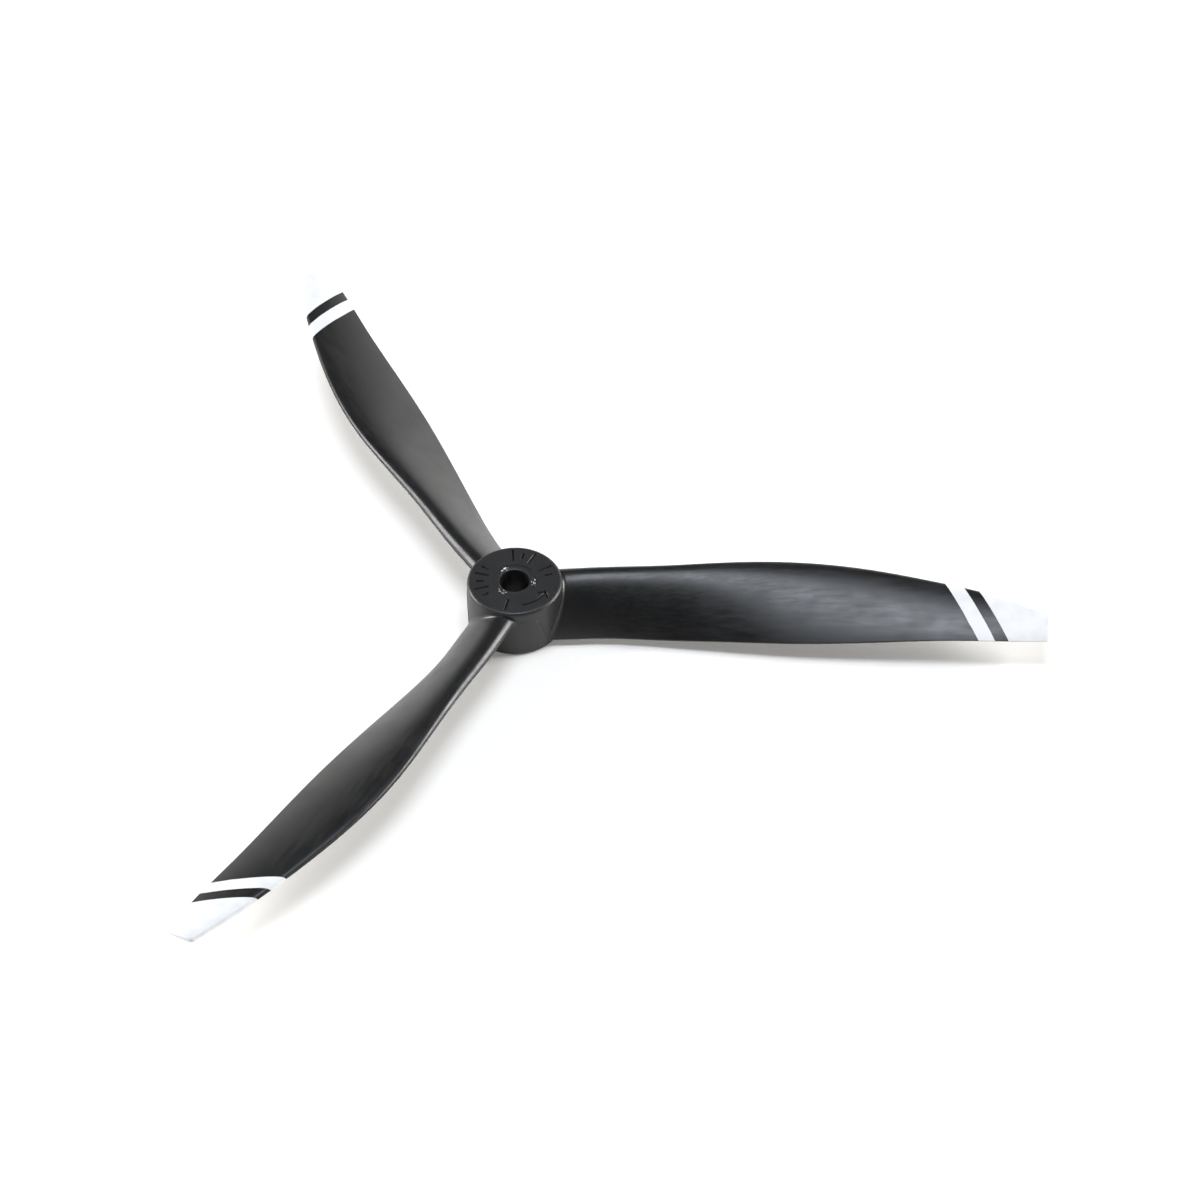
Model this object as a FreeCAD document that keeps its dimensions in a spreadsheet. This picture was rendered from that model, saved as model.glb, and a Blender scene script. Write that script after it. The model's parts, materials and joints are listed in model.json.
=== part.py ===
import FreeCAD, Part
import os
import Sketcher
from FreeCAD import Placement, Rotation, Vector

# A three-blade fixed-pitch propeller for a model aeroplane. It is one moulding, a hub and
# three blades, with white paint on the tips. Origin: on the shaft axis, on the hub's rear
# face. +Z points forward, along the shaft, and blade_1 lies along +X. It turns
# anticlockwise seen from the front, so each blade leads with the edge on its +Y side.

PARTS = "parts"
BLADES = 3
BLADE_STEP = 360.0 / BLADES

# How a sketch numbers its own origin and the points of its curves.
ORIGIN = (-1, 1)
START, END, CENTRE = 1, 2, 3

# A placement needs some angle before an expression can take it over.
ANY_TURN = Rotation(Vector(0, 0, 1), 1.0)
LEVEL_WITHIN = 1e-6
CUBIC = 3

# Driving dimensions, in millimetres and degrees.
DIMENSIONS = {
    # hub
    "hub_diameter": 25.0,
    "hub_length": 15.5,
    "rim_round": 1.0,
    "base_round": 0.9,
    "bore_diameter": 7.94,
    "recess_diameter": 11.6,
    "recess_depth": 0.2,
    # blade tips and paint
    "tip_radius": 139.7,
    "coat": 0.1,
    "stripe_start": 113.9,
    "stripe_end": 118.1,
    "tip_paint_start": 121.5,
    "paint_slant": 26.5,
    # blade section, as shares of its thickness and of its chord
    "nose_above": 0.76,
    "nose_below": 0.45,
    "crown": 0.90,
    "belly": 0.50,
    "crown_place": 0.05,
    "belly_place": 0.10,
    "edge_share": 0.20,
    # room that a cutting shape needs beyond the piece it cuts
    "cut_reach": 20.0,
}

# Blade stations from root to tip: radius from the shaft axis, chord, pitch angle, place of
# the mid-chord point across the blade (sweep) and along the shaft (rise), and thickness.
STATION_COLUMNS = ("radius", "chord", "pitch", "sweep", "rise", "thick")
STATIONS = (
    (8.0, 18.7, 37.5, -1.6, 7.7, 5.6),
    (24.0, 18.9, 37.0, -0.4, 7.7, 5.0),
    (38.0, 19.9, 33.4, -0.6, 8.0, 4.4),
    (54.0, 21.7, 26.5, -0.8, 8.7, 3.7),
    (72.0, 23.2, 20.1, -1.2, 9.1, 3.1),
    (92.0, 21.5, 16.8, -2.5, 9.6, 2.6),
    (112.0, 17.1, 14.2, -4.9, 10.1, 2.1),
    (128.0, 12.9, 12.6, -7.7, 10.3, 1.8),
    (140.0, 8.0, 12.8, -10.2, 9.9, 1.5),
)


def make_sheet(doc):
    """The driving dimensions as named cells."""
    sheet = doc.addObject("Spreadsheet::Sheet", "dims")
    cells = dict(DIMENSIONS)
    for number, station in enumerate(STATIONS, 1):
        for column, value in zip(STATION_COLUMNS, station):
            cells[f"{column}_{number}"] = value
    for row, (name, value) in enumerate(cells.items(), 1):
        sheet.set(f"A{row}", name)
        sheet.set(f"B{row}", str(value))
        sheet.setAlias(f"B{row}", name)
    doc.recompute()
    return sheet


def plane(body, role):
    """One of a body's own origin planes."""
    return next(f for f in body.Origin.OriginFeatures if f.Role == role)


def new_sketch(body, name, role):
    """An empty sketch on an origin plane of its body."""
    sketch = body.newObject("Sketcher::SketchObject", name)
    sketch.AttachmentSupport = (plane(body, role), [""])
    sketch.MapMode = "FlatFace"
    return sketch


def value_of(sheet, expression):
    """A bound expression's number, so that a curve is drawn where it will stay."""
    return float(sheet.evalExpression(expression))


def add_circle(sketch, sheet, diameter):
    """A circle about the sketch's origin, its diameter bound to an expression."""
    size = value_of(sheet, diameter)
    circle = Part.Circle(Vector(0, 0, 0), Vector(0, 0, 1), size / 2)
    number = sketch.addGeometry(circle, False)
    sketch.addConstraint(Sketcher.Constraint("Coincident", number, CENTRE, *ORIGIN))
    index = sketch.addConstraint(Sketcher.Constraint("Diameter", number, size))
    sketch.setExpression(f"Constraints[{index}]", diameter)


def pin(sketch, sheet, geometry, vertex, across, up):
    """Fixes a point of a sketch at two bound distances from the sketch's origin."""
    for kind, expression in (("DistanceX", across), ("DistanceY", up)):
        distance = value_of(sheet, expression)
        constraint = Sketcher.Constraint(kind, *ORIGIN, geometry, vertex, distance)
        index = sketch.addConstraint(constraint)
        sketch.setExpression(f"Constraints[{index}]", expression)


def add_bezier(sketch, sheet, poles):
    """A cubic curve through its two end poles, every pole pinned to its expressions."""
    points = [Vector(value_of(sheet, x), value_of(sheet, y), 0) for x, y in poles]
    curve = Part.BSplineCurve()
    curve.buildFromPolesMultsKnots(points, [CUBIC + 1] * 2, [0.0, 1.0], False, CUBIC)
    spline = sketch.addGeometry(curve, False)
    sketch.exposeInternalGeometry(spline)
    for number, (across, up) in enumerate(poles, 1):
        pin(sketch, sheet, spline + number, CENTRE, across, up)
    return spline


def section_poles(number, margin):
    """Poles of a section's upper and lower curves, in shares of its chord and thickness."""
    chord = f"dims.chord_{number}"
    thick = f"dims.thick_{number}"
    half = f"({chord} / 2 + {margin})"
    edge = f"({thick} * dims.edge_share / 2 + {margin})"
    upper = (
        (half, "0"),
        (half, f"{thick} * dims.nose_above + {margin}"),
        (f"{chord} * dims.crown_place", f"{thick} * dims.crown + {margin}"),
        (f"-1 * {half}", edge),
    )
    lower = (
        (f"-1 * {half}", f"-1 * {edge}"),
        (f"{chord} * dims.belly_place", f"-1 * ({thick} * dims.belly + {margin})"),
        (half, f"-1 * ({thick} * dims.nose_below + {margin})"),
        (half, "0"),
    )
    return upper, lower


def make_section(body, sheet, number, margin):
    """One blade section: convex front face, flatter rear face, thin trailing edge."""
    sketch = new_sketch(body, f"{body.Label}_section_{number}", "YZ_Plane")
    sketch.AttachmentOffset = Placement(Vector(0, 0, 0), ANY_TURN)
    sketch.setExpression("AttachmentOffset.Base.x", f"dims.sweep_{number}")
    sketch.setExpression("AttachmentOffset.Base.y", f"dims.rise_{number}")
    sketch.setExpression("AttachmentOffset.Base.z", f"dims.radius_{number}")
    sketch.setExpression("AttachmentOffset.Rotation.Angle", f"dims.pitch_{number} * 1 deg")
    upper_poles, lower_poles = section_poles(number, margin)
    upper = add_bezier(sketch, sheet, upper_poles)
    lower = add_bezier(sketch, sheet, lower_poles)
    top_corner = sketch.getPoint(upper, END)
    bottom_corner = sketch.getPoint(lower, START)
    edge = sketch.addGeometry(Part.LineSegment(top_corner, bottom_corner), False)
    sketch.addConstraint(Sketcher.Constraint("Coincident", edge, START, upper, END))
    sketch.addConstraint(Sketcher.Constraint("Coincident", edge, END, lower, START))
    return sketch


def make_blade_form(doc, sheet, name, angle, margin, tip):
    """A blade lofted through its stations, cut to the hub wall and to a round tip."""
    body = doc.addObject("PartDesign::Body", name)
    body.Placement = Placement(Vector(0, 0, 0), Rotation(Vector(0, 0, 1), angle))
    numbers = range(1, len(STATIONS) + 1)
    sections = [make_section(body, sheet, number, margin) for number in numbers]
    doc.recompute()
    loft = body.newObject("PartDesign::AdditiveLoft", f"{name}_loft")
    loft.Profile = sections[0]
    loft.Sections = [(section, [""]) for section in sections[1:]]
    loft.Ruled = False
    loft.Closed = False
    doc.recompute()
    outline = new_sketch(body, f"{name}_outline", "XY_Plane")
    add_circle(outline, sheet, "dims.hub_diameter")
    add_circle(outline, sheet, f"2 * {tip}")
    add_circle(outline, sheet, "2 * (dims.tip_radius + dims.cut_reach)")
    trim = body.newObject("PartDesign::Pocket", f"{name}_trim")
    trim.Profile = outline
    trim.Type = "ThroughAll"
    trim.Reversed = True
    doc.recompute()
    return body


def make_hub(doc, sheet):
    """The hub: a short cylinder with a through bore and a shallow front recess."""
    body = doc.addObject("PartDesign::Body", "hub")
    disc = new_sketch(body, "hub_disc", "XY_Plane")
    add_circle(disc, sheet, "dims.hub_diameter")
    pad = body.newObject("PartDesign::Pad", "hub_pad")
    pad.Profile = disc
    pad.setExpression("Length", "dims.hub_length")
    doc.recompute()

    recess_sketch = new_sketch(body, "hub_recess_circle", "XY_Plane")
    recess_sketch.setExpression("AttachmentOffset.Base.z", "dims.hub_length")
    add_circle(recess_sketch, sheet, "dims.recess_diameter")
    recess = body.newObject("PartDesign::Pocket", "hub_recess")
    recess.Profile = recess_sketch
    recess.setExpression("Length", "dims.recess_depth")
    doc.recompute()

    bore_sketch = new_sketch(body, "hub_bore_circle", "XY_Plane")
    add_circle(bore_sketch, sheet, "dims.bore_diameter")
    bore = body.newObject("PartDesign::Pocket", "hub_bore")
    bore.Profile = bore_sketch
    bore.Type = "ThroughAll"
    bore.Reversed = True
    doc.recompute()

    rim = round_edge(body, bore, "hub_rim", "dims.rim_round", top=True)
    round_edge(body, rim, "hub_base", "dims.base_round", top=False)
    return body


def round_edge(body, feature, name, radius, top):
    """Rounds the hub's outer edge at its front or at its rear."""
    fillet = body.newObject("PartDesign::Fillet", name)
    fillet.Base = (feature, [outer_edge(feature.Shape, top)])
    fillet.setExpression("Radius", radius)
    body.Document.recompute()
    return fillet


def outer_edge(shape, top):
    """Name of the widest round edge on the hub's highest or lowest face."""
    level = shape.BoundBox.ZMax if top else shape.BoundBox.ZMin
    rings = [
        (edge.Curve.Radius, number)
        for number, edge in enumerate(shape.Edges, 1)
        if edge.Curve.TypeId == "Part::GeomCircle"
        and abs(edge.BoundBox.ZMax - level) < LEVEL_WITHIN
        and abs(edge.BoundBox.ZMin - level) < LEVEL_WITHIN
    ]
    widest, number = max(rings)
    return f"Edge{number}"


def make_zone(doc, name, angle, start, end):
    """A slanted block that holds the stretch of blade between two paint lines."""
    zone = doc.addObject("Part::Box", name)
    reach = "dims.cut_reach"
    turn = f"({angle} + dims.paint_slant)"
    zone.setExpression("Length", f"({end} - {start}) * cos(dims.paint_slant)")
    zone.setExpression("Width", f"2 * {reach}")
    zone.setExpression("Height", f"2 * {reach}")
    zone.Placement = Placement(Vector(0, 0, 0), ANY_TURN)
    zone.setExpression("Placement.Rotation.Angle", f"{turn} * 1 deg")
    zone.setExpression("Placement.Base.x", f"{start} * cos({angle}) + {reach} * sin({turn})")
    zone.setExpression("Placement.Base.y", f"{start} * sin({angle}) - {reach} * cos({turn})")
    return zone


def make_coat(doc, name, form, blade, zone):
    """A thin coat on the blade, within one zone."""
    patch = doc.addObject("Part::Common", f"{name}_patch")
    patch.Base = form
    patch.Tool = zone
    doc.recompute()
    coat = doc.addObject("Part::Cut", name)
    coat.Base = patch
    coat.Tool = blade
    doc.recompute()
    return coat


def check(doc, pieces):
    """Stops before anything is written if an object failed or a piece isn't one solid."""
    failed = [o.Label for o in doc.Objects if {"Invalid", "Error"} & set(o.State)]
    if failed:
        raise RuntimeError(f"these objects failed: {failed}")
    for piece in pieces:
        shape = piece.Shape
        if shape.isNull() or not shape.isValid() or len(shape.Solids) != 1:
            raise RuntimeError(f"{piece.Label} isn't one valid solid")
        box = shape.optimalBoundingBox()
        print(f"{piece.Label:16} {shape.Volume:9.2f} mm3  x {box.XMin:8.2f} {box.XMax:8.2f}"
              f"  y {box.YMin:8.2f} {box.YMax:8.2f}  z {box.ZMin:6.2f} {box.ZMax:6.2f}")


def main():
    doc = FreeCAD.newDocument("propeller")
    sheet = make_sheet(doc)
    pieces = [make_hub(doc, sheet)]
    tip = "dims.tip_radius"
    for number in range(1, BLADES + 1):
        angle = (number - 1) * BLADE_STEP
        blade = make_blade_form(
            doc, sheet, f"blade_{number}", angle, "0", f"({tip} - dims.coat)")
        form = make_blade_form(
            doc, sheet, f"painted_form_{number}", angle, "dims.coat", tip)
        stripe_zone = make_zone(
            doc, f"stripe_zone_{number}", angle, "dims.stripe_start", "dims.stripe_end")
        tip_zone = make_zone(
            doc, f"tip_zone_{number}", angle, "dims.tip_paint_start",
            "(dims.tip_radius + dims.cut_reach)")
        pieces += [
            blade,
            make_coat(doc, f"stripe_paint_{number}", form, blade, stripe_zone),
            make_coat(doc, f"tip_paint_{number}", form, blade, tip_zone),
        ]
    doc.recompute()
    check(doc, pieces)
    os.makedirs(PARTS, exist_ok=True)
    for piece in pieces:
        piece.Shape.exportStep(f"{PARTS}/{piece.Label}.step")


main()
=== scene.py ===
import json
import math

import bmesh
import bpy
import numpy as np
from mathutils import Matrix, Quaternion, Vector


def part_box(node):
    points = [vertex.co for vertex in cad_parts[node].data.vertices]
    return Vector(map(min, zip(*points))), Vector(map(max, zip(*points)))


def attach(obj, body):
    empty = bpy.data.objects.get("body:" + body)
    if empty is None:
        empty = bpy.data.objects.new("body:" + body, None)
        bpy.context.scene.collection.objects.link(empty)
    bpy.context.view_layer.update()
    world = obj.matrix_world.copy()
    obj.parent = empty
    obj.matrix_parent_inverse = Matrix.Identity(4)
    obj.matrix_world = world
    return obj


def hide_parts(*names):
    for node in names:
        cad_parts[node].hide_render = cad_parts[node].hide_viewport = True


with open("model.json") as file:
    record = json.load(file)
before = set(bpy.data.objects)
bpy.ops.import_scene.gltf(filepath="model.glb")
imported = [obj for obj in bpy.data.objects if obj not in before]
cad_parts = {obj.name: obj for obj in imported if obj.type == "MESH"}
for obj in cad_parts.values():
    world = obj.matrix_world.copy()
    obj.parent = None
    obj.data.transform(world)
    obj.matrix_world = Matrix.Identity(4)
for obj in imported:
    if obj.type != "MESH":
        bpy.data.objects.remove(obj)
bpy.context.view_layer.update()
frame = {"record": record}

# ---- Hub -------------------------------------------------------------------------------
# The boss in the middle of a one-piece moulding of glass-filled nylon. It has a bore for
# the motor shaft, a shallow recess in its front face that the melt was fed into, and
# rounded rims, because a sharp edge in the steel mould would chip.

MM = 0.001
HUB_ROUNDNESS = 180
RIM_ROUND = 1.0 * MM
BASE_ROUND = 0.9 * MM
RECESS_RADIUS = 5.8 * MM
RECESS_ROUND = 0.08 * MM
BORE_ROUND = 0.2 * MM
RIM_STEPS, BASE_STEPS, EDGE_STEPS = 6, 5, 2
NEAR = 0.02 * MM
hub_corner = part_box("hub")[1]
HUB_RADIUS = hub_corner.x
HUB_TOP = hub_corner.z
bore = next(m for m in frame["record"]["mounts"] if m["name"] == "bore")
BORE_RADIUS = bore["dims"]["r_mm"] * MM
RECESS_DEPTH = HUB_TOP - bore["dims"]["length_mm"] * MM


def deselect():
    bpy.ops.object.select_all(action="DESELECT")


def select_part(piece, kind, wanted):
    """In edit mode, selects the verts, edges or faces that wanted() is true of."""
    bpy.ops.mesh.select_mode(type={"verts": "VERT", "edges": "EDGE", "faces": "FACE"}[kind])
    bpy.ops.mesh.select_all(action="DESELECT")
    mesh = bmesh.from_edit_mesh(piece.data)
    for part in getattr(mesh, kind):
        part.select_set(wanted(part))
    mesh.select_flush(True)
    bmesh.update_edit_mesh(piece.data)


def on_ring(radius, height):
    """True of an edge that lies on a circle about the hub's axis."""
    def wanted(edge):
        return all(abs(math.hypot(v.co.x, v.co.y) - radius) < NEAR
                   and abs(v.co.z - height) < NEAR for v in edge.verts)
    return wanted


def flat_face(height, inside):
    """True of the level face at a height whose corners are all inside a radius."""
    def wanted(face):
        return all(abs(v.co.z - height) < NEAR and math.hypot(v.co.x, v.co.y) < inside + NEAR
                   for v in face.verts)
    return wanted


def round_edges(piece, radius, height, amount, segments):
    select_part(piece, "edges", on_ring(radius, height))
    bpy.ops.mesh.bevel(offset=amount, offset_type="OFFSET", segments=segments, affect="EDGES")


def apply_all(piece):
    bpy.context.view_layer.objects.active = piece
    for modifier in list(piece.modifiers):
        bpy.ops.object.modifier_apply(modifier=modifier.name)


deselect()
bpy.ops.mesh.primitive_cylinder_add(vertices=HUB_ROUNDNESS, radius=HUB_RADIUS, depth=HUB_TOP,
                                    location=(0, 0, HUB_TOP / 2))
hub = bpy.context.object
hub.name = hub.data.name = "hub_boss"
bpy.ops.object.transform_apply(location=True)
bpy.ops.object.mode_set(mode="EDIT")
select_part(hub, "faces", flat_face(HUB_TOP, HUB_RADIUS))
bpy.ops.mesh.inset(thickness=HUB_RADIUS - RECESS_RADIUS)
bpy.ops.mesh.extrude_region_move(TRANSFORM_OT_translate={"value": (0, 0, -RECESS_DEPTH)})
bpy.ops.mesh.inset(thickness=RECESS_RADIUS - BORE_RADIUS)
bpy.ops.mesh.delete(type="ONLY_FACE")
select_part(hub, "faces", flat_face(0.0, HUB_RADIUS))
bpy.ops.mesh.inset(thickness=HUB_RADIUS - BORE_RADIUS)
bpy.ops.mesh.delete(type="ONLY_FACE")
floor_of_recess = HUB_TOP - RECESS_DEPTH
bore_ends = [on_ring(BORE_RADIUS, height) for height in (0.0, floor_of_recess)]
select_part(hub, "edges", lambda edge: any(end(edge) for end in bore_ends))
bpy.ops.mesh.bridge_edge_loops()
round_edges(hub, HUB_RADIUS, HUB_TOP, RIM_ROUND, RIM_STEPS)
round_edges(hub, HUB_RADIUS, 0.0, BASE_ROUND, BASE_STEPS)
round_edges(hub, RECESS_RADIUS, HUB_TOP, RECESS_ROUND, EDGE_STEPS)
round_edges(hub, BORE_RADIUS, floor_of_recess, BORE_ROUND, EDGE_STEPS)
round_edges(hub, BORE_RADIUS, 0.0, BORE_ROUND, EDGE_STEPS)
bpy.ops.mesh.select_all(action="SELECT")
bpy.ops.mesh.normals_make_consistent(inside=False)
bpy.ops.object.mode_set(mode="OBJECT")

# Shallow marks that stand raised in the mould and so come out sunk in the front face: an
# arrow for the way it turns, and index ticks between the blades.
MARK_WIDTH = 0.5 * MM
MARK_STEEPNESS = 1.5
ARROW_RADIUS = 9.1
ARROW_TURNS = range(286, 340, 6)
ARROW_BARBS = ((10.5, 326.0), (7.7, 325.0))
TICK_TURNS = (62.0, 78.0, 94.0, 150.0, 166.0, 182.0, 198.0, 214.0, 258.0, 14.0, 30.0)
LONG_TICK = (7.3, 10.7)
SHORT_TICK = (8.3, 9.8)


def on_face(radius, degrees):
    turn = math.radians(degrees)
    return Vector((radius * MM * math.cos(turn), radius * MM * math.sin(turn)))


def cut_stroke(start, end):
    """Sinks a V-shaped stroke into the front face, between two (radius mm, degrees) places."""
    run = on_face(*end) - on_face(*start)
    middle = (on_face(*start) + on_face(*end)) / 2
    deselect()
    bpy.ops.mesh.primitive_cube_add(
        size=1, location=(middle.x, middle.y, HUB_TOP),
        rotation=(math.pi / 4, 0, math.atan2(run.y, run.x)),
        scale=(run.length + MARK_WIDTH, MARK_WIDTH, MARK_WIDTH))
    stroke = bpy.context.object
    bpy.ops.object.transform_apply(location=True, rotation=True, scale=True)
    bpy.ops.object.mode_set(mode="EDIT")
    bpy.ops.mesh.select_all(action="SELECT")
    bpy.ops.transform.resize(value=(1, 1, MARK_STEEPNESS), center_override=(0, 0, HUB_TOP))
    bpy.ops.object.mode_set(mode="OBJECT")
    cut = hub.modifiers.new("sunk_mark", "BOOLEAN")
    cut.operation = "DIFFERENCE"
    cut.solver = "EXACT"
    cut.object = stroke
    deselect()
    apply_all(hub)
    bpy.data.objects.remove(stroke)


arrow = [(ARROW_RADIUS, turn) for turn in ARROW_TURNS]
strokes = list(zip(arrow, arrow[1:])) + [(arrow[-1], barb) for barb in ARROW_BARBS]
for place, turn in enumerate(TICK_TURNS):
    inner, outer = SHORT_TICK if place % 2 else LONG_TICK
    strokes.append(((inner, turn), (outer, turn)))
for start, end in strokes:
    cut_stroke(start, end)

# The plastic is near black, mottled by the flow of the melt, with a fine moulded grain.
# The hub's blacks are about twice as light as the blades' blacks, though it is the same plastic:
# painted light on the hub.
HUB_BLACKS_PAINTED_LIGHTER = ((0.009, 0.009, 0.0095), (0.016, 0.016, 0.0165))
HUB_ROUGHNESS = 0.40
HUB_GRAIN = 2.4
MOULD_TEXTURE = 0.012 * MM
FLOW_ACROSS, FLOW_ALONG = 60.0, 90.0
FLOW_STREAKS = 0.3
PATCH_SCALE = 130.0
GRAIN_SCALE = 2600.0
NYLON_SHINE = 0.5
SMOOTHER, ROUGHER = 0.05, 0.07  # how far the mottling moves the roughness
SMOOTH_BELOW = 32  # degrees between faces


def finish_piece(piece, material, slot, *nodes, angle=SMOOTH_BELOW):
    """Gives the piece its finish; it rides on the one body and stands for its CAD nodes."""
    deselect()
    piece.select_set(True)
    bpy.context.view_layer.objects.active = piece
    bpy.ops.object.transform_apply(location=True, rotation=True, scale=True)
    bpy.ops.object.shade_smooth_by_angle(angle=math.radians(angle))
    piece.data.materials.clear()
    piece.data.materials.append(material)
    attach(piece, "root")
    if nodes:
        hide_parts(*nodes)


def new_finish(name, roughness, specular):
    material = bpy.data.materials.new(name)
    material.use_nodes = True
    nodes, links = material.node_tree.nodes, material.node_tree.links
    shader = nodes["Principled BSDF"]
    shader.inputs["Roughness"].default_value = roughness
    shader.inputs["Specular IOR Level"].default_value = specular
    return material, nodes, links, shader


def noise(nodes, links, coordinates, scale, detail=3.0, roughness=0.5):
    texture = nodes.new("ShaderNodeTexNoise")
    texture.inputs["Scale"].default_value = scale
    texture.inputs["Detail"].default_value = detail
    texture.inputs["Roughness"].default_value = roughness
    links.new(coordinates, texture.inputs["Vector"])
    return texture.outputs["Fac"]


def ramp(nodes, links, source, *stops):
    node = nodes.new("ShaderNodeValToRGB")
    stretch = node.color_ramp
    while len(stretch.elements) < len(stops):
        stretch.elements.new(0.5)
    for element, (place, colour) in zip(stretch.elements, stops):
        element.position = place
        element.color = (*colour, 1.0)
    links.new(source, node.inputs["Fac"])
    return node.outputs["Color"]


def spread(nodes, links, source, low, high, start=0.3, end=0.7):
    node = nodes.new("ShaderNodeMapRange")
    for name, value in (("From Min", start), ("From Max", end), ("To Min", low), ("To Max", high)):
        node.inputs[name].default_value = value
    links.new(source, node.inputs["Value"])
    return node.outputs["Result"]


def join_heights(nodes, links, parts):
    """Adds up (output, share) pairs into one height."""
    total = None
    for source, share in parts:
        node = nodes.new("ShaderNodeMath")
        node.operation = "MULTIPLY_ADD"
        links.new(source, node.inputs[0])
        node.inputs[1].default_value = share
        if total is None:
            node.inputs[2].default_value = 0.0
        else:
            links.new(total, node.inputs[2])
        total = node.outputs[0]
    return total


def bump(nodes, links, height, shader, distance):
    node = nodes.new("ShaderNodeBump")
    node.inputs["Distance"].default_value = distance
    node.inputs["Strength"].default_value = 1.0
    links.new(height, node.inputs["Height"])
    links.new(node.outputs["Normal"], shader.inputs["Normal"])


def along_blade(nodes, links, coordinates, turns, stretch):
    """Coordinates that change quickly across a blade and slowly along it."""
    flat = nodes.new("ShaderNodeVectorMath")
    flat.operation = "NORMALIZE"
    links.new(coordinates, flat.inputs[0])
    wide = nodes.new("ShaderNodeVectorMath")
    wide.operation = "SCALE"
    wide.inputs["Scale"].default_value = turns
    links.new(flat.outputs["Vector"], wide.inputs[0])
    reach = nodes.new("ShaderNodeVectorMath")
    reach.operation = "SCALE"
    reach.inputs["Scale"].default_value = stretch
    links.new(coordinates, reach.inputs[0])
    both = nodes.new("ShaderNodeVectorMath")
    both.operation = "ADD"
    links.new(wide.outputs["Vector"], both.inputs[0])
    links.new(reach.outputs["Vector"], both.inputs[1])
    return both.outputs["Vector"]


def make_black(name, colours, roughness, grain, streaks):
    """Glass-filled nylon: near black, mottled by the flow, with a fine moulded grain."""
    material, nodes, links, shader = new_finish(name, roughness, NYLON_SHINE)
    place = nodes.new("ShaderNodeTexCoord").outputs["Object"]
    run = along_blade(nodes, links, place, FLOW_ACROSS, FLOW_ALONG)
    flow = noise(nodes, links, run, 1.0, 2.5)
    patches = noise(nodes, links, place, PATCH_SCALE, 4.0)
    fine = noise(nodes, links, place, GRAIN_SCALE, 3.0)
    colour = ramp(nodes, links, flow, (0.3, colours[0]), (0.7, colours[1]))
    links.new(colour, shader.inputs["Base Color"])
    mixed = join_heights(nodes, links, [(flow, 0.5), (patches, 0.5)])
    mottled = spread(nodes, links, mixed, roughness - SMOOTHER, roughness + ROUGHER, 0.35, 0.65)
    links.new(mottled, shader.inputs["Roughness"])
    height = join_heights(nodes, links, [(fine, grain), (patches, 0.8), (flow, streaks)])
    bump(nodes, links, height, shader, MOULD_TEXTURE)
    return material


# A lighter copy of the blades' black: painted light on the hub, its parting lines and its bore
# flash.
hub_black_painted_lighter = make_black("moulded_nylon_hub", HUB_BLACKS_PAINTED_LIGHTER, HUB_ROUGHNESS, HUB_GRAIN, FLOW_STREAKS)
finish_piece(hub, hub_black_painted_lighter, "moulded_black", "hub")
even = hub.modifiers.new("even_shading", "WEIGHTED_NORMAL")
even.keep_sharp = True
apply_all(hub)

# ---- Blades ----------------------------------------------------------------------------
# A blade has a thick rounded leading edge with a fine flash line where the mould halves
# met, a convex front face and a thin trailing edge. It twists from steep at the hub to
# flat at the tip, and a small radius runs it into the hub.

CENTRE = (0.0, 0.0, 0.0)

# One section, in shares of its chord (forward) and of its thickness (up).
FLASH = 0.006
OUTLINE = (  # place, handle before, handle after
    ((0.5 + FLASH, -0.06), (0.5 + FLASH, -0.07), (0.5 + FLASH, -0.05)),
    ((0.5, -0.025), (0.5 + FLASH / 2, -0.03), (0.5, 0.02)),
    ((0.498, 0.12), (0.5, 0.06), (0.490, 0.70)),
    ((-0.49, 0.10), (0.05, 0.90), (-0.504, 0.09)),
    ((-0.49, -0.10), (-0.504, -0.09), (0.10, -0.50)),
    ((0.5, -0.095), (0.5, -0.45), (0.5 + FLASH / 2, -0.09)),
)
OUTLINE_STEPS = 10

# Stations from root to tip, in mm and degrees.
STATION = {
    "radius": (8.0, 24.0, 38.0, 54.0, 72.0, 92.0, 112.0, 128.0, 140.0),
    "chord": (18.7, 18.9, 19.9, 21.7, 23.2, 21.5, 17.1, 12.9, 8.0),
    "pitch": (37.5, 37.0, 33.4, 26.5, 20.1, 16.8, 14.2, 12.6, 12.8),
    "sweep": (-1.6, -0.4, -0.6, -0.8, -1.2, -2.5, -4.9, -7.7, -10.2),
    "rise": (7.7, 7.7, 8.0, 8.7, 9.1, 9.6, 10.1, 10.3, 9.9),
    "thick": (5.6, 5.0, 4.4, 3.7, 3.1, 2.6, 2.1, 1.8, 1.5),
}
BLADE_TURNS = {1: 0.0, 2: 120.0, 3: 240.0}
BLADE_BLACKS = ((0.0045, 0.0046, 0.0050), (0.0085, 0.0085, 0.0090))
BLADE_ROUGHNESS = 0.34
BLADE_GRAIN = 0.5
BLADE_STREAKS = 0.2
BLADE_START = 15.6
BLADE_RINGS = 56
TIP_RADIUS = 139.55
TIP_ROUND = 0.9
TIP_SOFTEN = 0.35
TIP_LEANS = (0.4, 0.8, 1.2, math.pi / 2)
TIP_EASE_START = 122.0
ROOT_ROUND = 1.1
ROOT_STEPS = 7
DRUM_RIM_STEPS = 12
ROOT_SUNK = 0.4
ROOT_SPREAD = 1.0
ROOT_REARWARD = 0.36
ROOT_CEILING = 14.6 * MM
ROOT_SHOULDER = 12.6 * MM


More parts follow.
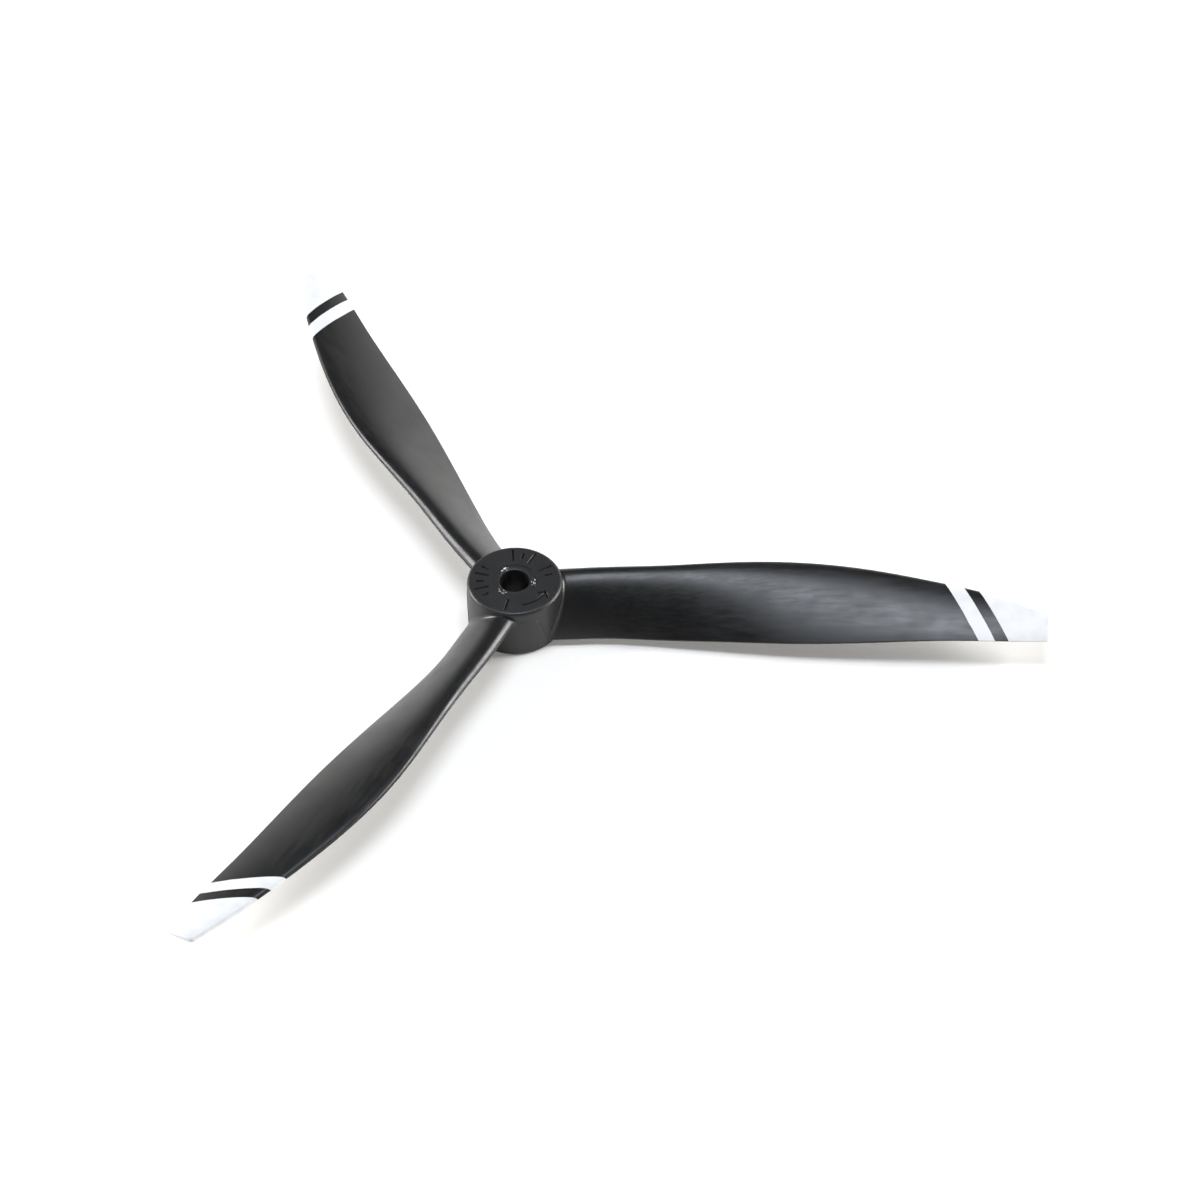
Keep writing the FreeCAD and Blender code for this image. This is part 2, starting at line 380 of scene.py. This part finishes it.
def natural_spline(xs, ys):
    """A smooth curve through the stations, with no bend at either end."""
    xs, ys = np.array(xs, float), np.array(ys, float)
    gap, count = np.diff(xs), len(xs)
    matrix, right = np.eye(count), np.zeros(count)
    for i in range(1, count - 1):
        matrix[i, i - 1:i + 2] = gap[i - 1], 2 * (gap[i - 1] + gap[i]), gap[i]
        right[i] = 6 * ((ys[i + 1] - ys[i]) / gap[i] - (ys[i] - ys[i - 1]) / gap[i - 1])
    bend = np.linalg.solve(matrix, right)

    def curve(x):
        i = int(np.clip(np.searchsorted(xs, x) - 1, 0, count - 2))
        a, b = (xs[i + 1] - x) / gap[i], (x - xs[i]) / gap[i]
        pull = (a**3 - a) * bend[i] + (b**3 - b) * bend[i + 1]
        return a * ys[i] + b * ys[i + 1] + pull * gap[i]**2 / 6

    return curve


along = {name: natural_spline(STATION["radius"], values) for name, values in STATION.items()}


def section_at(radius):
    """Centre, size (1, chord, thickness), pitch and turn of the section at a radius in mm."""
    centre = Vector((radius, along["sweep"](radius), along["rise"](radius))) * MM
    size = Vector((1, along["chord"](radius) * MM, along["thick"](radius) * MM))
    ease = min(max((radius - TIP_EASE_START) / (TIP_RADIUS - TIP_EASE_START), 0.0), 1.0)
    turn = math.atan2(centre.y, centre.x) * ease * ease * (3 - 2 * ease)
    return centre, size, math.radians(along["pitch"](radius)), turn


def turn_ring(angle, axis, centre):
    """Turns what is selected by angle. Without a window the operator turns the other way."""
    bpy.ops.transform.rotate(value=-angle, orient_axis=axis, orient_type="GLOBAL",
                             center_override=centre)


def next_ring(old, new):
    """Extrudes the open end of the blade and reshapes it from one section to the next."""
    centre, size, pitch, turn = new
    bpy.ops.mesh.extrude_edges_move(TRANSFORM_OT_translate={"value": centre - old[0]})
    turn_ring(-old[3], "Z", centre)
    turn_ring(-old[2], "X", centre)
    scale = [b / a for a, b in zip(old[1], size)]
    bpy.ops.transform.resize(value=scale, orient_type="GLOBAL", center_override=centre)
    turn_ring(pitch, "X", centre)
    turn_ring(turn, "Z", centre)


def grown(section, chordwise, thickwise, outward=0.0, rearward=0.0):
    """The same section, larger or smaller, and moved outward and rearward, all in mm."""
    centre, size, pitch, turn = section
    size = Vector((size.x, size.y + chordwise * MM, size.z + thickwise * MM))
    reach = Vector((math.cos(turn), math.sin(turn), 0)) * outward * MM
    back = Vector((0, -math.cos(pitch), -math.sin(pitch))) * rearward * MM
    return centre + reach + back, size, pitch, turn


deselect()
bpy.ops.curve.primitive_bezier_circle_add(location=CENTRE)
blade = bpy.context.object
outline = blade.data.splines[0]
outline.bezier_points.add(len(OUTLINE) - len(outline.bezier_points))
for point, places in zip(outline.bezier_points, OUTLINE):
    point.handle_left_type = point.handle_right_type = "FREE"
    point.co, point.handle_left, point.handle_right = [Vector((0, y, z)) for y, z in places]
outline.resolution_u = OUTLINE_STEPS
bpy.ops.object.convert(target="MESH")
blade.name = blade.data.name = "blade_form"
start = section_at(BLADE_START)
bpy.ops.object.mode_set(mode="EDIT")
bpy.ops.mesh.select_all(action="SELECT")
bpy.ops.transform.resize(value=start[1], center_override=CENTRE)
turn_ring(start[2], "X", CENTRE)
bpy.ops.transform.translate(value=start[0])

# Outward from the start ring to the tip, which is drawn in to a soft edge and closed.
tip_reach = TIP_RADIUS - TIP_ROUND
tip_x = math.sqrt(tip_reach**2 - along["sweep"](tip_reach)**2)
radii = np.linspace(BLADE_START, tip_x, BLADE_RINGS)
ring = start
for radius in radii[1:]:
    next_ring(ring, section_at(radius))
    ring = section_at(radius)
tip = ring
for lean in TIP_LEANS:
    drawn_in = 1 - math.cos(lean)
    thin = -TIP_SOFTEN * tip[1].z / MM * drawn_in
    step = grown(tip, -2 * TIP_ROUND * drawn_in, thin, TIP_ROUND * math.sin(lean))
    next_ring(ring, step)
    ring = step
bpy.ops.mesh.edge_face_add()

# Inward from the start ring, swelling into the radius at the hub. Each ring is its own
# group, so that it can be laid at its own distance from the hub's round wall.
select_part(blade, "verts", lambda v: abs(v.co.x - start[0].x) < NEAR)
root = section_at(HUB_RADIUS / MM)
root = (Vector((start[0].x, root[0].y, root[0].z)), root[1], root[2], 0.0)
ring = start
distances = []
for step in range(ROOT_STEPS + 2):
    lean = min(step / ROOT_STEPS, 1.0) * math.pi / 2
    swell = 1 - math.cos(lean)
    flare = ROOT_SPREAD * swell
    swollen = grown(root, flare, 2 * ROOT_ROUND * swell, rearward=ROOT_REARWARD * flare)
    next_ring(ring, swollen)
    ring = swollen
    bpy.ops.object.vertex_group_remove_from(use_all_groups=True)
    bpy.ops.object.vertex_group_assign_new()
    distances.append(ROOT_ROUND * (1 - math.sin(lean)) if step <= ROOT_STEPS else -ROOT_SUNK)
bpy.ops.mesh.edge_face_add()
for group in blade.vertex_groups:
    layer = bmesh.from_edit_mesh(blade.data).verts.layers.deform.verify()
    select_part(blade, "verts", lambda v: group.index in v[layer] and v.co.z > ROOT_SHOULDER)
    top = max(v.co.z for v in bmesh.from_edit_mesh(blade.data).verts if v.select)
    if top > ROOT_CEILING:
        squeeze = (ROOT_CEILING - ROOT_SHOULDER) / (top - ROOT_SHOULDER)
        bpy.ops.transform.resize(value=(1, 1, squeeze), center_override=(0, 0, ROOT_SHOULDER))
bpy.ops.object.mode_set(mode="OBJECT")

# A plain drum the size of the hub, for the root rings to be laid against.
deselect()
bpy.ops.mesh.primitive_cylinder_add(vertices=2 * HUB_ROUNDNESS, radius=HUB_RADIUS,
                                    depth=2 * HUB_TOP)
drum = bpy.context.object
bpy.ops.object.mode_set(mode="EDIT")
round_edges(drum, HUB_RADIUS, HUB_TOP, RIM_ROUND, DRUM_RIM_STEPS)
bpy.ops.object.mode_set(mode="OBJECT")
for group, distance in zip(blade.vertex_groups, distances):
    lay = blade.modifiers.new("lay_on_hub", "SHRINKWRAP")
    lay.wrap_method = "PROJECT"
    lay.use_project_x = True
    lay.use_positive_direction = False
    lay.use_negative_direction = True
    lay.target = drum
    lay.offset = distance * MM
    lay.vertex_group = group.name
deselect()
apply_all(blade)
bpy.data.objects.remove(drum)
blade.vertex_groups.clear()
bpy.ops.object.mode_set(mode="EDIT")
bpy.ops.mesh.select_all(action="SELECT")
bpy.ops.mesh.remove_doubles(threshold=0.2 * NEAR)
bpy.ops.mesh.normals_make_consistent(inside=False)
bpy.ops.object.mode_set(mode="OBJECT")


def copy_piece(piece, name, degrees):
    """A copy with its own mesh, turned about the hub's axis."""
    deselect()
    piece.select_set(True)
    bpy.context.view_layer.objects.active = piece
    bpy.ops.object.duplicate()
    copy = bpy.context.object
    copy.name = copy.data.name = name
    copy.rotation_euler.z = math.radians(degrees)
    bpy.ops.object.transform_apply(rotation=True)
    return copy


blade_black = make_black("moulded_nylon_black", BLADE_BLACKS, BLADE_ROUGHNESS, BLADE_GRAIN,
                         BLADE_STREAKS)
for number, degrees in BLADE_TURNS.items():
    moulding = copy_piece(blade, f"blade_moulding_{number}", degrees)
    finish_piece(moulding, blade_black, "moulded_black", f"blade_{number}")

# ---- Tip paint -------------------------------------------------------------------------
# White enamel sprayed through a mask: a slanted stripe, a bare gap and the whole tip. The
# coat wraps both faces and stands a hair proud of the plastic.

PAINT_SLANT = math.radians(26.5)
ENAMEL_SHINE = 0.5
COAT = 0.1 * MM
ENAMEL_THIN = (0.68, 0.69, 0.705)
ENAMEL_FULL = (0.74, 0.745, 0.75)
ENAMEL_ROUGHNESS = (0.36, 0.46)
ORANGE_PEEL = 0.01 * MM
PEEL_SCALE = 900.0
THIN_SCALE = 260.0
PAINT = {"stripe_paint": (113.9 * MM, 118.1 * MM), "tip_paint": (121.5 * MM, None)}
across = Vector((math.cos(PAINT_SLANT), math.sin(PAINT_SLANT), 0))


def make_enamel(name):
    """Sprayed enamel: faintly blue white, with a soft orange peel."""
    material, nodes, links, shader = new_finish(name, sum(ENAMEL_ROUGHNESS) / 2, ENAMEL_SHINE)
    place = nodes.new("ShaderNodeTexCoord").outputs["Object"]
    peel = noise(nodes, links, place, PEEL_SCALE, 2.0)
    thin = noise(nodes, links, place, THIN_SCALE, 5.0)
    colour = ramp(nodes, links, thin, (0.35, ENAMEL_THIN), (0.6, ENAMEL_FULL))
    links.new(colour, shader.inputs["Base Color"])
    links.new(spread(nodes, links, thin, *ENAMEL_ROUGHNESS), shader.inputs["Roughness"])
    bump(nodes, links, join_heights(nodes, links, [(peel, 1.0), (thin, 0.6)]), shader,
         ORANGE_PEEL)
    return material


enamel = make_enamel("tip_enamel_white")
for name, (inner, outer) in PAINT.items():
    form = copy_piece(blade, name, 0.0)
    bpy.ops.object.mode_set(mode="EDIT")
    bpy.ops.mesh.select_all(action="SELECT")
    bpy.ops.mesh.bisect(plane_co=(inner, 0, 0), plane_no=across, clear_inner=True)
    if outer:
        bpy.ops.mesh.select_all(action="SELECT")
        bpy.ops.mesh.bisect(plane_co=(outer, 0, 0), plane_no=across, clear_outer=True)
    bpy.ops.object.mode_set(mode="OBJECT")
    coat = form.modifiers.new("coat", "SOLIDIFY")
    coat.thickness = COAT
    coat.offset = 1.0
    apply_all(form)
    for number, degrees in BLADE_TURNS.items():
        piece = copy_piece(form, f"{name}_coat_{number}", degrees)
        finish_piece(piece, enamel, "tip_white", f"{name}_{number}")
    bpy.data.objects.remove(form)
bpy.data.objects.remove(blade)

# ---- Parting line on the hub -----------------------------------------------------------
# The fine ridge where the two halves of the mould met on the hub's side: level just under
# the rim from each leading edge, then down to the next blade's trailing edge.

PARTING_HIGH = 12.1 * MM
PARTING_LOW = 2.7 * MM
PARTING_ROUND = 0.13 * MM
PARTING_ROUTE = ((26, 1.0), (36, 1.0), (46, 1.0), (56, 0.99), (62, 0.93), (66, 0.72),
                 (70, 0.3), (74, 0.06), (80, 0.0))


def add_ridge(name, points, radius):
    """A fine round ridge along a smooth curve through the points, as a mesh."""
    deselect()
    bpy.ops.curve.primitive_nurbs_path_add(location=CENTRE)
    ridge = bpy.context.object
    ridge.name = name
    line = ridge.data.splines[0]
    line.points.add(len(points) - len(line.points))
    for point, place in zip(line.points, points):
        point.co = (*place, 1.0)
    line.order_u = 4
    line.use_endpoint_u = True
    ridge.data.bevel_depth = radius
    ridge.data.bevel_resolution = 3
    ridge.data.use_fill_caps = True
    bpy.ops.object.convert(target="MESH")
    return ridge


for number, degrees in BLADE_TURNS.items():
    route = []
    for turn, share in PARTING_ROUTE:
        angle = math.radians(degrees + turn)
        height = PARTING_LOW + share * (PARTING_HIGH - PARTING_LOW)
        route.append((HUB_RADIUS * math.cos(angle), HUB_RADIUS * math.sin(angle), height))
    ridge = add_ridge(f"parting_line_{number}", route, PARTING_ROUND)
    finish_piece(ridge, hub_black_painted_lighter, "moulded_black")

# ---- Gate stubs ------------------------------------------------------------------------
# The melt was fed in at three points beside the bore. Twisting the runner off leaves a few torn
# stubs of plastic at each, their raised tops grey-white, partly from stress whitening and partly
# as a painted highlight, and the bore's pin leaves a lip of flash.

GATE_RADIUS = 5.25 * MM
GATES = ((-8.0, 10.0), (121.0, 35.0), (236.0, -25.0))  # place about the hub, turn of the tear
GATE_LIFT = -0.16
GATE_LUMPS = (  # along the ring, outward, up, half-sizes: all in mm
    ((0.0, 0.0, 0.0), (0.62, 0.44, 0.26)),
    ((1.10, 0.20, 0.0), (0.42, 0.30, 0.25)),
    ((-1.00, 0.45, 0.0), (0.42, 0.30, 0.25)),
    ((0.35, -0.75, -0.02), (0.40, 0.24, 0.23)),
    ((-0.55, -0.60, -0.02), (0.30, 0.26, 0.23)),
    ((-1.80, 0.20, -0.02), (0.28, 0.24, 0.22)),
    ((1.95, -0.10, -0.04), (0.24, 0.26, 0.22)),
)
TEAR = 0.3 * MM
TEAR_SIZE = 0.22 * MM
TORN_ROUGHNESS = 0.3
TORN_SHINE = 0.6
TORN_SMOOTH_BELOW = 60
RAG_SCALE = 1500.0
RAG_DEPTH = 0.08 * MM
TORN_PIT = (0.012, 0.012, 0.013)
# Grey-white on the raised tops: partly stress whitening, partly a painted highlight for glints.
WHITENED_AND_GLINT_TOP = (0.75, 0.75, 0.75)
LIP_TURNS = range(146, 226, 10)
LIP_GAP = 0.25 * MM
LIP_ROUND = 0.09 * MM
torn = bpy.data.textures.new("torn_plastic", "CLOUDS")
torn.noise_scale = TEAR_SIZE


def make_torn_with_painted_glints(name):
    """Torn nylon, black in its pits; its grey-white ragged tops are partly stress whitening and
    partly a painted highlight for glints.
    """
    material, nodes, links, shader = new_finish(name, TORN_ROUGHNESS, TORN_SHINE)
    place = nodes.new("ShaderNodeTexCoord").outputs["Object"]
    rag = noise(nodes, links, place, RAG_SCALE, 4.0, 0.6)
    colour = ramp(nodes, links, rag, (0.44, TORN_PIT), (0.57, WHITENED_AND_GLINT_TOP))
    links.new(colour, shader.inputs["Base Color"])
    bump(nodes, links, rag, shader, RAG_DEPTH)
    return material


stubs = []
for degrees, tear_turn in GATES:
    middle = math.radians(degrees)
    angle = math.radians(degrees + tear_turn)
    outward = Vector((math.cos(angle), math.sin(angle), 0))
    ahead = Vector((-outward.y, outward.x, 0))
    gate = Vector((math.cos(middle), math.sin(middle), 0)) * GATE_RADIUS
    for (forward, out, up), halves in GATE_LUMPS:
        deselect()
        place = gate + (outward * out + ahead * forward) * MM
        place.z = floor_of_recess + (GATE_LIFT + up) * MM
        bpy.ops.mesh.primitive_ico_sphere_add(subdivisions=4, radius=MM, location=place,
                                              rotation=(0, 0, angle + math.pi / 2),
                                              scale=halves)
        bpy.ops.object.transform_apply(location=True, rotation=True, scale=True)
        stubs.append(bpy.context.object)
deselect()
for stub in stubs:
    stub.select_set(True)
gates = bpy.context.view_layer.objects.active = stubs[0]
bpy.ops.object.join()
gates.name = gates.data.name = "gate_stubs"
tear = gates.modifiers.new("tear", "DISPLACE")
tear.texture = torn
tear.texture_coords = "LOCAL"
tear.strength = TEAR
tear.mid_level = 0.5
apply_all(gates)
finish_piece(gates, make_torn_with_painted_glints("torn_nylon"), "moulded_black", angle=TORN_SMOOTH_BELOW)

# A lip of flash, thin as a hair, along one side of the bore's mouth.
lip_route = []
for turn in LIP_TURNS:
    angle, radius = math.radians(turn), BORE_RADIUS + LIP_GAP
    lip_route.append((radius * math.cos(angle), radius * math.sin(angle), floor_of_recess))
lip = add_ridge("bore_flash", lip_route, LIP_ROUND)
finish_piece(lip, hub_black_painted_lighter, "moulded_black")

# ---- Studio ----------------------------------------------------------------------------
# A white paper table under a large soft light, with a soft light low on each side, a weak
# one behind, and walls that are white near the table and dark above.

FLOOR_HALF = 3.0
FLOOR_DROP = 0.02 * MM
PAPER_TONES = ((0.92, 0.90, 0.87), (0.935, 0.915, 0.885))
PAPER_ROUGHNESS = 0.8
PAPER_SHINE = 0.0
PAPER_SCALE = 6.0
PAPER_GLOW = (1.0, 0.985, 0.955, 1.0)
PAPER_GLOW_STRENGTH = 0.13
LIGHT_WHITE = (1.0, 1.0, 1.0)
KEY_TINT = (0.92, 0.98, 1.07)

deselect()
bpy.ops.mesh.primitive_plane_add(size=2 * FLOOR_HALF, location=(0, 0, -FLOOR_DROP))
table_top = bpy.context.object
table_top.name = "table_top"
paper, nodes, links, shader = new_finish("white_paper", PAPER_ROUGHNESS, PAPER_SHINE)
place = nodes.new("ShaderNodeTexCoord").outputs["Object"]
tone = noise(nodes, links, place, PAPER_SCALE)
colour = ramp(nodes, links, tone, (0.3, PAPER_TONES[0]), (0.7, PAPER_TONES[1]))
links.new(colour, shader.inputs["Base Color"])
shader.inputs["Emission Color"].default_value = PAPER_GLOW
shader.inputs["Emission Strength"].default_value = PAPER_GLOW_STRENGTH
table_top.data.materials.append(paper)


def add_soft_light(name, azimuth, elevation, distance, size, radiance, colour):
    """A rectangular light facing the hub, so bright that its face has this radiance."""
    turn, lift = math.radians(azimuth), math.radians(elevation)
    place = distance * Vector((math.cos(turn) * math.cos(lift),
                               math.sin(turn) * math.cos(lift), math.sin(lift)))
    bpy.ops.object.light_add(type="AREA", location=place)
    light = bpy.context.object
    light.name = name
    light.data.shape = "RECTANGLE"
    light.data.size, light.data.size_y = size
    light.data.energy = radiance * math.pi * size[0] * size[1]
    light.data.color = colour
    light.rotation_euler = (-place).to_track_quat("-Z", "Y").to_euler()
    light.visible_camera = False


add_soft_light("key_light", 90.0, 89.0, 1.3, (0.66, 0.36), 11.5, KEY_TINT)
add_soft_light("back_light", 69.0, 15.0, 1.3, (0.5, 0.4), 1.1, LIGHT_WHITE)
add_soft_light("right_light", 12.0, 20.0, 1.2, (0.42, 0.80), 16.0, LIGHT_WHITE)
add_soft_light("left_light", 168.0, 20.0, 1.2, (0.42, 0.80), 16.0, LIGHT_WHITE)

# How bright the room is at each height, behind the object and in front of it.
WALLS = ((0.0, (1.8, 1.77, 1.7)), (0.12, (1.25, 1.24, 1.2)), (0.22, (0.5, 0.5, 0.5)),
         (0.32, (0.14, 0.14, 0.14)), (0.7, (0.12, 0.12, 0.12)), (1.0, (0.1, 0.1, 0.1)))
FROM_Y, TO_Y = -0.1, 0.2
COLOUR_A, COLOUR_B, COLOUR_OUT = 6, 7, 2  # the colour sockets of a mix node
DARK_SIDE = ((0.0, (1.3, 1.28, 1.22)), (0.2, (0.6, 0.6, 0.6)), (0.35, (0.1, 0.1, 0.1)),
             (1.0, (0.08, 0.08, 0.08)))

world = bpy.data.worlds.new("studio")
bpy.context.scene.world = world
world.use_nodes = True
nodes, links = world.node_tree.nodes, world.node_tree.links
direction = nodes.new("ShaderNodeTexCoord").outputs["Generated"]
parts = nodes.new("ShaderNodeSeparateXYZ")
links.new(direction, parts.inputs["Vector"])
blend = nodes.new("ShaderNodeMix")
blend.data_type = "RGBA"
behind = spread(nodes, links, parts.outputs["Y"], 0.0, 1.0, FROM_Y, TO_Y)
links.new(behind, blend.inputs["Factor"])
links.new(ramp(nodes, links, parts.outputs["Z"], *DARK_SIDE), blend.inputs[COLOUR_A])
links.new(ramp(nodes, links, parts.outputs["Z"], *WALLS), blend.inputs[COLOUR_B])
links.new(blend.outputs[COLOUR_OUT], nodes["Background"].inputs["Color"])

# ---- Camera ----------------------------------------------------------------------------
# A long lens from in front and above, looking down at the table at about 46 degrees.

CAMERA_PLACE = Vector((0.0353, -0.7333, 0.7806))
CAMERA_AIM = Vector((0.02213, 0.0079, 0.0))
CAMERA_ROLL = math.radians(-0.21)
LENS = 121.86
FILM_WIDTH = 36.0
NEAREST = 0.01

bpy.ops.object.camera_add(location=CAMERA_PLACE)
camera = bpy.context.object
level = (CAMERA_AIM - CAMERA_PLACE).to_track_quat("-Z", "Y")
camera.rotation_euler = (level @ Quaternion((0, 0, 1), CAMERA_ROLL)).to_euler()
camera.data.lens = LENS
camera.data.sensor_width = FILM_WIDTH
camera.data.clip_start = NEAREST
bpy.context.scene.camera = camera
bpy.context.scene.view_settings.view_transform = "Standard"
